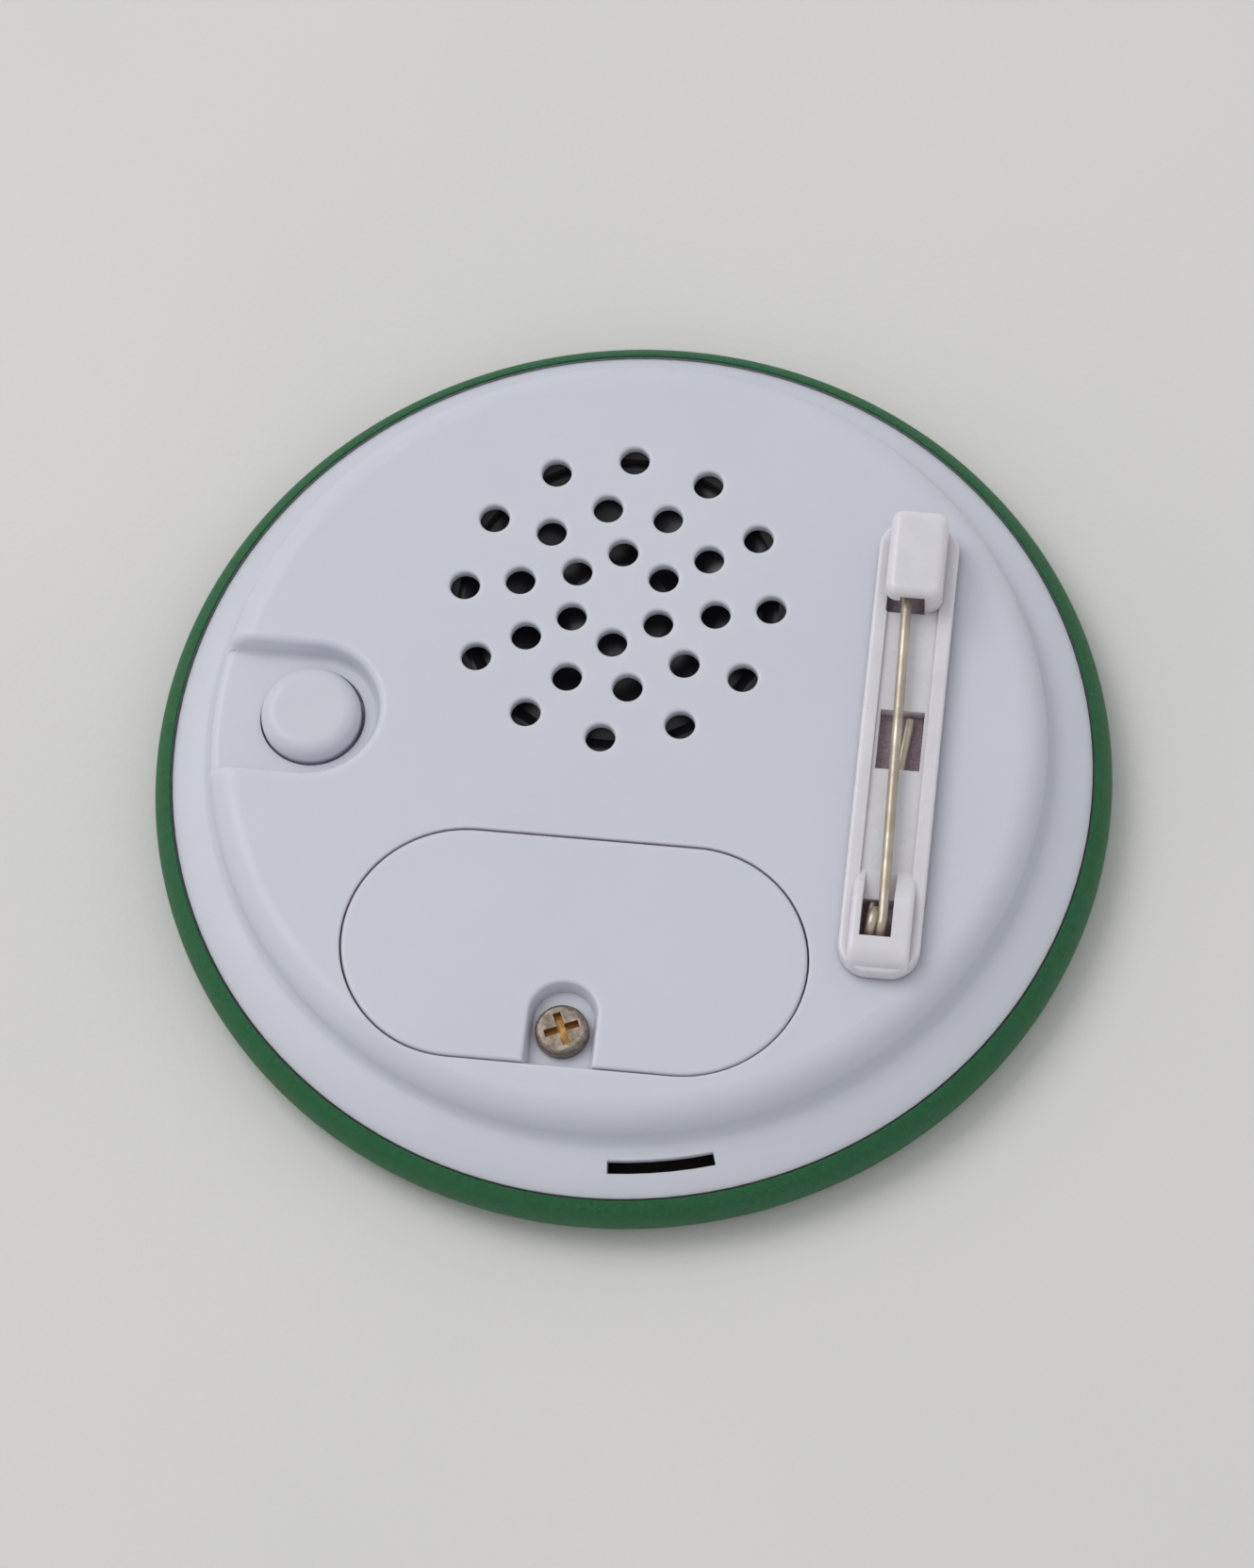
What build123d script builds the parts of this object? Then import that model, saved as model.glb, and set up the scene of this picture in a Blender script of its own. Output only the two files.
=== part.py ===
from build123d import *
from math import cos, pi, radians, sin, sqrt, tan
import os

# A talking pin-back button badge, lying face down. Millimetres, +Z up.
# Origin: centre of the flat front face, which rests on the table at z = 0.
# -Y is the battery door's side, +Y the speaker's side, +X the bar pin's side.

os.makedirs("parts", exist_ok=True)

# ---- driving dimensions ----
BADGE_R = 37.5            # 75 mm badge
ROLL_LOW_R = 2.6          # rolled edge, below its widest point
ROLL_HIGH_R = 2.4         # rolled edge, above its widest point
FILM_T = 0.1
WRAP_T = 0.2
TIN_T = 0.35
COVER_T = 0.65            # inner cover plate

BRIM_R = 36.0
BRIM_CROWN = 5.7          # the brim is highest under the drum and rounds down to its edge
BRIM_CROWN_R = 30.5
BRIM_MIDDLE = (33.8, 5.3)     # radius and height of a point on the rounding
BRIM_EDGE = 4.4           # height at the brim's outer edge, a little below the shell's turned-in lip
BRIM_UNDER = 3.7
DRUM_R = 32.5
DRUM_TOP = 9.0
DRUM_X, DRUM_Y = -0.3, 1.0    # the drum sits a little towards the speaker
DRUM_EDGE_R = 2.2
DRUM_FOOT_R = 0.8
WALL = 1.5

GRILLE_X, GRILLE_Y = -2.2, 12.2
GRILLE_HOLE_R = 1.17
GRILLE_T = 0.9            # the top is thinner there
GRILLE_RINGS = ((3.92, 6, 30.0), (7.81, 10, 30.0), (12.04, 12, 30.0))   # radius, holes, first angle

DOOR_X, DOOR_Y = -2.2, -17.75
DOOR_LENGTH = 35.6
DOOR_WIDTH = 18.6
DOOR_T = 1.3
DOOR_GAP = 0.13           # all round the door's edge
DOOR_EDGE_R = 0.28
LEDGE = 0.5               # the door's edge rests on this
NOTCH_HALF = 2.35         # half width of the screw notch at its floor
NOTCH_DRAFT = 12.0        # degrees its walls lean out
NOTCH_DEPTH = 1.5
NOTCH_TOP_Y = -20.6       # inner end of the notch at its floor

SCREW_X, SCREW_Y = -2.4, -24.0
SCREW_HEAD_R = 2.05
SCREW_HEAD_H = 1.1
CROSS_LENGTH = 2.7
CROSS_WIDTH = 0.6
CROSS_TURN = 24.0         # degrees the cross happens to stand at
SCREW_R = 0.95
SCREW_TIP = 3.2           # height of the screw's tip
RUNNING = 0.05            # radial clearance of pieces that slide in a bore

CELL_R = 5.8              # 11.6 mm button cell
CELL_H = 3.05
CELL_STEP_X = 11.48
MIDDLE_CELL_Y = -15.2
END_CELL_Y = -17.2
STRIP_T = 0.25            # contact strip

BUTTON_X, BUTTON_Y = -25.0, 0.7
BUTTON_R = 3.9
BUTTON_HOLE_R = 4.12
BUTTON_HOLE_X = BUTTON_X + 0.08    # the button sits a little off its hole's centre
BUTTON_TOP = 8.6
BUTTON_TRAVEL = 0.45
RECESS_R = 5.2            # U-shaped recess round the button, at its floor
RECESS_FLOOR = 7.0
RECESS_T = 1.2            # the recess's floor
SLOT_R0, SLOT_R1 = 33.1, 34.1      # arc slot through the brim
SLOT_AT, SLOT_SPAN = -79.7, 13.9   # degrees
SLOT_T = 0.5              # thickness left round it
RECESS_DRAFT = 9.0

GASKET_R = 13.5
BOARD_Z = 2.1
BOARD_T = 0.8

BAR_X, BAR_Y = 20.9, 1.0
BAR_W, BAR_L = 6.2, 38.0
BAR_END_R = 2.3
GLUE_T = 0.2
BAR_FLOOR_T = 1.2
RAIL_W = 1.1
RAIL_H = 0.3              # rails above the channel's floor

WIRE_R = 0.4              # pin wire
NEEDLE_X, NEEDLE_Y, NEEDLE_Z = 21.0, -14.1, 11.5    # root of the needle, on the coil
NEEDLE_LENGTH = 31.4
NEEDLE_TAPER = 3.6
NEEDLE_LEAN = 1.3         # degrees to the left of the bar
COIL_R = 0.9              # wire centre line
COIL_PITCH = 1.1

# ---- derived dimensions ----
TIN_INSIDE = FILM_T + WRAP_T + TIN_T
COVER_TOP = TIN_INSIDE + COVER_T
CEILING = DRUM_TOP - WALL
DOOR_UNDER = DRUM_TOP - DOOR_T
DOOR_END_R = DOOR_WIDTH / 2
DOOR_HALF = DOOR_LENGTH / 2 - DOOR_END_R      # half of the straight stretch
POCKET_R = DOOR_END_R + DOOR_GAP
BAY_R = POCKET_R - LEDGE
BAY_FLOOR = COVER_TOP + 1.0
CELL_Z = BAY_FLOOR + STRIP_T
CELL_TOP = CELL_Z + CELL_H
NOTCH_FLOOR = DRUM_TOP - NOTCH_DEPTH
TONGUE_T = 1.0
TONGUE_UNDER = NOTCH_FLOOR - TONGUE_T
BOARD_TOP = BOARD_Z + BOARD_T
BAR_Z = DRUM_TOP + GLUE_T
BAR_FLOOR = BAR_Z + BAR_FLOOR_T
BAR_Y0 = BAR_Y - BAR_L / 2
BAR_Y1 = BAR_Y + BAR_L / 2
CELLS = {
    "left": (DOOR_X - CELL_STEP_X, END_CELL_Y),
    "middle": (DOOR_X, MIDDLE_CELL_Y),
    "right": (DOOR_X + CELL_STEP_X, END_CELL_Y),
}


# ---- shape helpers ----
def disc(radius, z0, z1, x=0.0, y=0.0):
    """An upright cylinder between two heights."""
    return Pos(x, y, (z0 + z1) / 2) * Cylinder(radius, z1 - z0)


def tube(outer, inner, z0, z1, x=0.0, y=0.0):
    """An upright ring between two heights."""
    return disc(outer, z0, z1, x, y) - disc(inner, z0 - 1, z1 + 1, x, y)


def block(x0, x1, y0, y1, z0, z1):
    """A box given by its limits."""
    return Pos((x0 + x1) / 2, (y0 + y1) / 2, (z0 + z1) / 2) * Box(x1 - x0, y1 - y0, z1 - z0)


def stadium(end_r, z0, z1):
    """A stadium prism on the battery door's centre, with the given end radius."""
    outline = SlotCenterToCenter(2 * DOOR_HALF, 2 * end_r)
    return Pos(DOOR_X, DOOR_Y, z0) * extrude(outline, amount=z1 - z0)


def turned(points, x=0.0, y=0.0):
    """A solid of revolution about an upright axis, from (radius, height) points."""
    outline = make_face(Polyline(*points, close=True))
    return Pos(x, y, 0) * revolve(Plane.XZ * outline, Axis.Z)


def dish(outer, inner):
    """One layer of the badge shell: its outer and inner faces lie this far inside the badge's skin."""
    low = (BADGE_R - ROLL_LOW_R, ROLL_LOW_R)
    high = (BADGE_R - ROLL_HIGH_R, ROLL_LOW_R)
    turn = 65.0

    def rim(offset):
        """Where a face's rolled edge stops."""
        radius = ROLL_HIGH_R - offset
        return (high[0] + radius * cos(radians(turn)), high[1] + radius * sin(radians(turn)))

    edges = [Line((0, outer), (low[0], outer)), Line((low[0], inner), (0, inner))]
    edges.append(Line((0, inner), (0, outer)))
    for offset in (outer, inner):
        edges.append(CenterArc(low, ROLL_LOW_R - offset, -90, 90))
        edges.append(CenterArc(high, ROLL_HIGH_R - offset, 0, turn))
    edges.append(Line(rim(outer), rim(inner)))
    return revolve(Plane.XZ * make_face(edges), Axis.Z)


def rod(start, end, radius):
    """A straight round rod between two points."""
    run = Line(start, end)
    return sweep(Plane(origin=start, z_dir=run % 0) * Circle(radius), path=run)


def edges_at(shape, z, low, high):
    """Edges that lie at one height, inside an (x, y) window."""
    found = ShapeList()
    for edge in shape.edges():
        box = edge.bounding_box()
        flat = abs(box.min.Z - z) < 0.01 and abs(box.max.Z - z) < 0.01
        if flat and low[0] < box.min.X and box.max.X < high[0] and low[1] < box.min.Y and box.max.Y < high[1]:
            found.append(edge)
    return found


# ---- badge shell ----
def clear_film():
    return dish(0, FILM_T)


def printed_wrap():
    return dish(FILM_T, FILM_T + WRAP_T)


def front_shell():
    return dish(FILM_T + WRAP_T, TIN_INSIDE)


# ---- sound module housing ----
def drum(radius, top, edge_r, bottom):
    """A round plateau with a rounded top edge, on the drum's centre."""
    solid = disc(radius, bottom, top, DRUM_X, DRUM_Y)
    return fillet(solid.edges().sort_by(Axis.Z)[-1], edge_r)


def recess_tool(radius, z0, z1, draft=0.0):
    """The U round the push button, open to the left."""
    outline = Circle(radius) + Pos(-8, 0) * Rectangle(16, 2 * radius)
    return Pos(BUTTON_X, BUTTON_Y, z0) * extrude(outline, amount=z1 - z0, taper=-draft)


def notch_tool(half, z0, z1, draft=0.0, end_y=DOOR_Y - DOOR_END_R - 1.0):
    """The screw notch: a half-round inner end, open towards the door's lower edge."""
    centre_y = NOTCH_TOP_Y - NOTCH_HALF
    length = centre_y - end_y
    outline = Circle(half) + Pos(0, -length / 2) * Rectangle(2 * half, length)
    return Pos(SCREW_X, centre_y, z0) * extrude(outline, amount=z1 - z0, taper=-draft)


def grille_places():
    """Centres of the sound holes."""
    places = []
    for radius, count, first in GRILLE_RINGS:
        for k in range(count):
            angle = radians(first + k * 360 / count)
            places.append((GRILLE_X + radius * cos(angle), GRILLE_Y + radius * sin(angle)))
    return places


BOARD_SCREW_PLACES = ((-19.0, 6.6), (-19.0, -5.4))


def brim():
    """A flat-bottomed disc whose top rounds down from its crown to its outer edge."""
    outline = [
        ThreePointArc((BRIM_CROWN_R, BRIM_CROWN), BRIM_MIDDLE, (BRIM_R, BRIM_EDGE)),
        Polyline((BRIM_R, BRIM_EDGE), (BRIM_R, BRIM_UNDER), (0, BRIM_UNDER)),
        Polyline((0, BRIM_UNDER), (0, BRIM_CROWN), (BRIM_CROWN_R, BRIM_CROWN)),
    ]
    return revolve(Plane.XZ * make_face(outline), Axis.Z)


def drum_foot(shell):
    """Edges where the drum's wall meets the brim."""
    found = ShapeList()
    for edge in shell.edges():
        middle = edge @ 0.5
        from_drum = sqrt((middle.X - DRUM_X) ** 2 + (middle.Y - DRUM_Y) ** 2)
        if abs(from_drum - DRUM_R) < 0.02 and BRIM_EDGE < middle.Z < BRIM_CROWN + 0.01 and edge.length > 5:
            found.append(edge)
    return found


def housing_shell():
    """Brim, drum, crimping flange and skirt, hollow underneath."""
    shell = brim() + drum(DRUM_R, DRUM_TOP, DRUM_EDGE_R, BRIM_UNDER + 0.5)
    shell = fillet(drum_foot(shell), DRUM_FOOT_R)
    shell = shell - drum(DRUM_R - WALL - 0.1, CEILING, 1.0, BRIM_UNDER - 1)
    flange = turned(((34.2, 2.9), (36.4, 2.9), (36.4, 3.45), (35.6, 3.7), (35.6, 4.2), (34.2, 4.2)))
    undercut = turned(((35.6, BRIM_UNDER - 1), (37, BRIM_UNDER - 1), (37, 4.75), (36.0, 4.75), (35.6, 4.1)))
    skirt = tube(35.0, 34.2, COVER_TOP - 0.5, BRIM_UNDER)
    return shell - undercut + flange + skirt


def recessed(body):
    """Cut the button's recess: soft inner corner, rounded rim, and a rounded lip at its open end."""
    tool = recess_tool(RECESS_R, RECESS_FLOOR, DRUM_TOP + 1, RECESS_DRAFT)
    corner = edges_at(tool, RECESS_FLOOR, (BUTTON_X - 17, -9), (BUTTON_X + 9, 9))
    body -= fillet([edge for edge in corner if edge.bounding_box().max.X > BUTTON_X - 15], 0.5)
    rim = ShapeList()
    for edge in body.edges():
        box = edge.bounding_box()
        beside = -31 < box.max.X < BUTTON_X + RECESS_R + 1 and abs(box.center().Y - BUTTON_Y) < RECESS_R + 1
        if beside and box.max.Z > DRUM_TOP - 0.01:
            rim.append(edge)
    body = fillet(rim, 0.6)
    lip_r = 0.7
    inner = DRUM_R - lip_r
    low = RECESS_FLOOR - lip_r
    outer = DRUM_R + 0.2
    over = RECESS_FLOOR + 0.6
    corner_bar = turned(((inner, low), (outer, low), (outer, over), (inner, over)))
    round_bar = Rot(90, 0, 0) * Circle(lip_r)
    keep = revolve(Pos(inner, 0, low) * round_bar, Axis.Z)
    shave = Pos(DRUM_X, DRUM_Y, 0) * (corner_bar - keep)
    return body - (shave & recess_tool(RECESS_R - 0.05, low, DRUM_TOP))


def back_housing():
    body = housing_shell()
    # the recess's floor is thickened underneath before it is cut
    floor = recess_tool(RECESS_R + 1.4, RECESS_FLOOR - RECESS_T, CEILING + 0.2)
    body += floor & drum(DRUM_R - 1, CEILING + 0.3, 1.0, 4)
    body = recessed(body)
    body -= disc(BUTTON_HOLE_R, 0, DRUM_TOP, BUTTON_HOLE_X, BUTTON_Y)
    # battery bay
    body += stadium(BAY_R + 1.2, COVER_TOP, CEILING + 0.2) & disc(DRUM_R - 1, 0, 10, DRUM_X, DRUM_Y)
    body -= stadium(BAY_R, BAY_FLOOR, DRUM_TOP + 1)
    body -= stadium(POCKET_R, DOOR_UNDER, DRUM_TOP + 1)
    # seat for the door's tongue, and the screw boss under it
    tongue_seat = notch_tool(NOTCH_HALF + 1.25, TONGUE_UNDER, DOOR_UNDER + 0.1, 0, DOOR_Y - POCKET_R)
    body -= tongue_seat
    body += disc(2.2, BAY_FLOOR, TONGUE_UNDER - RUNNING, SCREW_X, SCREW_Y)
    rib_y = DOOR_Y - BAY_R - 0.6
    body += block(SCREW_X - 0.6, SCREW_X + 0.6, rib_y, SCREW_Y, BAY_FLOOR, TONGUE_UNDER - RUNNING)
    body -= disc(SCREW_R + RUNNING, SCREW_TIP - 0.3, DRUM_TOP, SCREW_X, SCREW_Y)
    # sound holes, through a thinned top
    body -= disc(GASKET_R + RUNNING, CEILING - 0.1, DRUM_TOP - GRILLE_T, GRILLE_X, GRILLE_Y)
    for x, y in grille_places():
        body -= disc(GRILLE_HOLE_R, CEILING - 1, DRUM_TOP + 1, x, y)
    # arc slot through the brim
    slot = tube(SLOT_R1, SLOT_R0, BRIM_UNDER - 1, BRIM_CROWN + 1)
    sector = Pos(0, 0, BRIM_UNDER - 1) * extrude(Rot(0, 0, SLOT_AT) * wedge(SLOT_SPAN), amount=5)
    body -= slot & sector
    hollow = tube(SLOT_R1, SLOT_R0 - 1.4, BRIM_UNDER - 1, BRIM_CROWN - SLOT_T - 0.3)
    body -= hollow & sector
    # bosses for the board
    for x, y in BOARD_SCREW_PLACES:
        body += tube(1.7, 0.8, BOARD_TOP, CEILING + 0.2, x, y)
    # gaps in the bay's wall where the contact strips come out
    body -= block(-21.5, -19.0, -18.2, -16.2, BAY_FLOOR, CELL_TOP)
    body -= block(14.5, 17.5, -18.2, -16.2, BAY_FLOOR, CELL_TOP)
    return rounded_housing(body)


def wedge(angle):
    """A flat sector about +X, wider than the badge."""
    x = 50 * cos(radians(angle / 2))
    y = 50 * sin(radians(angle / 2))
    return make_face(Polyline((0, 0), (x, -y), (x, y), close=True))


def rounded_housing(body):
    """Moulded edges: the sound holes' lips, the door pocket and the button's hole."""
    lips = ShapeList()
    for edge in body.edges().filter_by(GeomType.CIRCLE):
        centre = edge.arc_center
        on_top = abs(centre.Z - DRUM_TOP) < 0.01 and abs(edge.radius - GRILLE_HOLE_R) < 0.01
        if on_top:
            lips.append(edge)
    body = fillet(lips, 0.25)
    pocket = edges_at(body, DRUM_TOP, (DOOR_X - 19, DOOR_Y - 10), (DOOR_X + 19, DOOR_Y + 10))
    return fillet(pocket, 0.15)


def inner_cover():
    return disc(33.9, TIN_INSIDE, COVER_TOP)


# ---- battery door and its screw ----
def battery_door():
    door = stadium(DOOR_END_R, DOOR_UNDER, DRUM_TOP)
    cup = notch_tool(NOTCH_HALF + 1.0, TONGUE_UNDER, DOOR_UNDER, 0, DOOR_Y - DOOR_END_R + 0.1)
    door += cup
    door -= notch_tool(NOTCH_HALF, NOTCH_FLOOR, DRUM_TOP + 1, NOTCH_DRAFT)
    door -= disc(SCREW_R + 0.2, 0, 10, SCREW_X, SCREW_Y)
    for x, y in CELLS.values():
        door += block(x - 3.0, x + 3.0, y + 1.0, y + 2.0, CELL_TOP + 0.1, DOOR_UNDER)
    top = edges_at(door, DRUM_TOP, (DOOR_X - 19, DOOR_Y - 10), (DOOR_X + 19, DOOR_Y + 10))
    return fillet(top, DOOR_EDGE_R)


def door_screw():
    seat = NOTCH_FLOOR
    head = disc(SCREW_HEAD_R, seat, seat + SCREW_HEAD_H, SCREW_X, SCREW_Y)
    head = fillet(head.edges().sort_by(Axis.Z)[-1], 0.45)
    shank = disc(SCREW_R, SCREW_TIP, seat, SCREW_X, SCREW_Y)
    shank = chamfer(shank.edges().sort_by(Axis.Z)[0], 0.4)
    arms = Box(CROSS_LENGTH, CROSS_WIDTH, 1.4) + Box(CROSS_WIDTH, CROSS_LENGTH, 1.4)
    cross = Pos(SCREW_X, SCREW_Y, seat + SCREW_HEAD_H) * Rot(0, 0, CROSS_TURN) * arms
    return head + shank - cross


# ---- cells and their contact strips ----
def battery_cell(place):
    """A button cell: wide can, narrower cap on the side that meets the floor strip."""
    x, y = CELLS[place]
    can = disc(CELL_R, CELL_Z + 0.35, CELL_TOP, x, y)
    can = fillet(can.edges(), 0.25)
    cap = disc(CELL_R - 1.1, CELL_Z, CELL_Z + 0.5, x, y)
    return can + cap


def floor_strip(x0, x1, y0, y1):
    return block(x0, x1, y0, y1, BAY_FLOOR, CELL_Z)


def finger(x0, x1, y0, y1):
    """An upright tab that leans on the side of a cell."""
    return block(x0, x1, y0, y1, BAY_FLOOR, CELL_TOP - 0.4)


def contact_negative():
    x, y = CELLS["left"]
    return floor_strip(x - 7.2, x + 1.5, y - 0.75, y + 0.75)


def contact_link(left, right):
    """From under the right-hand cell up to the side of the left-hand one."""
    x0, y0 = CELLS[left]
    x1, y1 = CELLS[right]
    gap_x = (x0 + x1) / 2
    reach = sqrt((CELL_R + 0.05) ** 2 - (gap_x - 2.0 - x0) ** 2)
    tab_y = y0 + reach
    strip = floor_strip(gap_x - 2.0, x1 - 1.8, tab_y + 0.1, tab_y + 1.3)
    strip += floor_strip(x1 - 3.0, x1 - 1.8, y1, tab_y + 1.3)
    return strip + finger(gap_x - 2.0, gap_x - 0.8, tab_y + 0.1, tab_y + 0.1 + STRIP_T)


def contact_positive():
    x, y = CELLS["right"]
    side = x + CELL_R + 0.06
    return floor_strip(side, side + 1.9, y - 0.6, y + 0.6) + finger(side, side + STRIP_T, y - 0.6, y + 0.6)


# ---- push button, switch and board ----
def push_button():
    cap = disc(BUTTON_R, RECESS_FLOOR - 1.8, BUTTON_TOP, BUTTON_X, BUTTON_Y)
    cap = fillet(cap.edges().sort_by(Axis.Z)[-1], 1.2)
    cap += disc(4.9, RECESS_FLOOR - 1.8, RECESS_FLOOR - 1.22, BUTTON_X, BUTTON_Y)
    hollow = disc(2.9, 4, BUTTON_TOP - 1.2, BUTTON_X, BUTTON_Y)
    post = disc(1.2, BOARD_TOP + 2.1, BUTTON_TOP - 1.0, BUTTON_X, BUTTON_Y)
    return cap - hollow + post


def switch_base():
    side = 2.6
    base = Pos(BUTTON_X, BUTTON_Y, BOARD_TOP + 0.6) * Box(2 * side, 2 * side, 1.2)
    well = disc(2.1, BOARD_TOP + 0.15, BOARD_TOP + 0.9, BUTTON_X, BUTTON_Y)
    return base - well - disc(1.0 + RUNNING, BOARD_TOP + 0.5, 10, BUTTON_X, BUTTON_Y)


def switch_dome():
    base_z = BOARD_TOP + 0.15
    dome = turned(((0, 0.45), (1.1, 0.3), (1.9, 0.0), (2.0, 0.0), (1.15, 0.4), (0, 0.55)), BUTTON_X, BUTTON_Y)
    return Pos(0, 0, base_z) * dome


def switch_plunger():
    """Slides in the base; its foot stays above the dome."""
    return disc(1.0, BOARD_TOP + 0.72, BOARD_TOP + 2.1, BUTTON_X, BUTTON_Y)


def circuit_board():
    board = block(-31, -17, -7.2, 8.4, BOARD_Z, BOARD_TOP) & disc(30.4, 0, 10, 0, 0.5)
    for x, y in BOARD_SCREW_PLACES:
        board -= disc(0.9, 0, 10, x, y)
    return board


def board_screws():
    screws = []
    for x, y in BOARD_SCREW_PLACES:
        head = disc(1.5, COVER_TOP + 0.05, BOARD_Z, x, y)
        screws.append(head + disc(0.78, BOARD_Z, 6.0, x, y))
    return Compound(screws)


def sound_chip():
    blob = disc(1.9, BOARD_TOP, BOARD_TOP + 0.9, -19.2, -1.6)
    return fillet(blob.edges().sort_by(Axis.Z)[-1], 0.7)


def board_resistors():
    return Compound([block(x, x + 1.6, 4.6, 5.4, BOARD_TOP, BOARD_TOP + 0.5) for x in (-24.6, -22.4)])


def board_capacitor():
    return block(-24.8, -22.8, -5.6, -4.4, BOARD_TOP, BOARD_TOP + 1.0)


# ---- speaker ----
def speaker_part(points):
    return turned(points, GRILLE_X, GRILLE_Y)


def speaker_gasket():
    return tube(GASKET_R, GASKET_R - 0.9, CEILING - 0.3, DRUM_TOP - GRILLE_T, GRILLE_X, GRILLE_Y)


def speaker_cone():
    """A clear film: flat rim, rolled surround, shallow cone and a centre dome."""
    top = CEILING - 0.3
    t = 0.12
    surround = ((13.4, top), (12.2, top), (11.3, top - 0.35), (10.4, top))
    upper = surround + ((5.9, top - 0.9), (4.0, top - 0.45), (0, top - 0.2))
    lower = tuple((r, z - t) for r, z in reversed(upper))
    return speaker_part(upper + lower)


def speaker_frame():
    """A thin pressed basket with windows, from the cone's rim down to the yoke."""
    top = CEILING - 0.42
    inside = ((13.5, top), (12.4, top), (12.4, top - 0.5), (7.9, 3.9), (7.42, 3.9))
    basket = speaker_part(inside + ((7.42, 3.4), (8.2, 3.4), (13.5, top - 0.55)))
    for k in range(4):
        window = Rot(0, 0, 45 + 90 * k) * block(9.0, 11.4, -2.6, 2.6, 3.0, 6.3)
        basket -= Pos(GRILLE_X, GRILLE_Y, 0) * window
    return basket


def speaker_yoke():
    cup = disc(7.4, COVER_TOP + 0.2, 4.3, GRILLE_X, GRILLE_Y)
    return cup - disc(6.5, COVER_TOP + 1.0, 5, GRILLE_X, GRILLE_Y)


def speaker_magnet():
    return disc(5.0, COVER_TOP + 1.0, 3.6, GRILLE_X, GRILLE_Y)


def speaker_pole_plate():
    return disc(5.2, 3.6, 4.5, GRILLE_X, GRILLE_Y)


def voice_coil():
    return tube(5.95, 5.45, 3.5, CEILING - 1.34, GRILLE_X, GRILLE_Y)


TERMINAL_X, TERMINAL_Y = -13.2, 4.6


def speaker_terminal_board():
    return Pos(TERMINAL_X, TERMINAL_Y, 3.4) * Box(2.4, 3.2, 0.8)


# ---- internal leads ----
LEAD_R = 0.4


def lead(points):
    """An insulated lead: straight runs joined by arcs as large as the runs allow."""
    radii = []
    for k in range(1, len(points) - 1):
        before = Vector(*points[k]) - Vector(*points[k - 1])
        after = Vector(*points[k + 1]) - Vector(*points[k])
        turn = radians(before.get_angle(after))
        radii.append(0.45 * min(before.length, after.length) / tan(turn / 2))
    path = FilletPolyline(*points, radius=radii)
    section = Plane(origin=path @ 0, z_dir=path % 0) * Circle(LEAD_R)
    wire = sweep(section, path=path)
    ratio = wire.volume / (path.length * pi * LEAD_R**2)
    print("lead radii", [round(r, 1) for r in radii], "volume ratio", round(ratio, 3))
    return wire


LEADS = {
    "speaker_wire_red": ((-17.6, 3.5, 3.3), (-16.5, 4.5, 3.8), (-15.3, 5.2, 4.15), (-14.0, 5.4, 4.2)),
    "speaker_wire_black": ((-17.4, 1.4, 3.3), (-16.4, 2.4, 3.9), (-15.4, 3.3, 4.2), (-14.0, 3.7, 4.2)),
    "battery_wire_black": (
        (-21.9, -6.6, 3.3), (-23.2, -8.6, 3.2), (-23.9, -11.2, 3.0), (-23.5, -13.9, 2.9), (-22.1, -15.9, 2.8),
    ),
    "battery_wire_red": (
        (-17.4, -4.2, 3.3), (-14.0, -5.0, 3.2), (-9.0, -4.3, 3.1), (-3.0, -4.0, 3.1), (4.0, -4.4, 3.1),
        (10.6, -6.0, 3.0), (15.4, -9.6, 2.9), (18.0, -13.6, 2.8), (17.6, -16.6, 2.8),
    ),
}


# ---- bar pin ----
def pin_bar_adhesive():
    pad = block(BAR_X - 2.6, BAR_X + 2.6, BAR_Y0 + 1, BAR_Y1 - 1, DRUM_TOP, BAR_Z)
    return fillet(pad.edges().filter_by(Axis.Z), 1.8)


HOOD_X0, HOOD_X1 = 18.7, 23.1
HOOD_Y0 = 12.3
HOOD_TOP = 13.6
HOOD_CEILING = 12.75
BOSS_TOP = 11.8
BOSS_W = 4.7
SLOT_X0, SLOT_X1 = 19.35, 21.75


def pin_bar():
    half = BAR_W / 2
    bar = block(BAR_X - half, BAR_X + half, BAR_Y0, BAR_Y1, BAR_Z, BAR_FLOOR + RAIL_H)
    bar = fillet(bar.edges().filter_by(Axis.Z), BAR_END_R)
    bar = fillet(bar.edges().filter_by(Axis.Z, reverse=True).sort_by(Axis.Z)[-1], 0.25)
    inside = half - RAIL_W
    bar -= block(BAR_X - inside, BAR_X + inside, BAR_Y0 + 1, BAR_Y1 - 1, BAR_FLOOR, BAR_FLOOR + 1)
    bar += pin_hood() + pin_boss()
    # slot for the coil, middle window, window under the hood, groove for the anchor leg
    bar -= block(SLOT_X0, SLOT_X1, -15.6, -12.1, BAR_Z - 1, 15)
    bar -= block(SLOT_X0, SLOT_X1, -12.2, -8.0, NEEDLE_Z - 1.0, 15)
    bar -= block(19.2, 22.6, -1.2, 3.8, BAR_Z - 1, BAR_FLOOR + 1)
    bar -= block(HOOD_X0 + 0.1, HOOD_X1 - 1.3, HOOD_Y0 - 0.2, 18.2, BAR_Z - 1, BAR_FLOOR + 1)
    leg = Line(LEG_START, LEG_END)
    bar -= rod(leg @ 0.01, LEG_END, WIRE_R + 0.05)
    return bar


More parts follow.
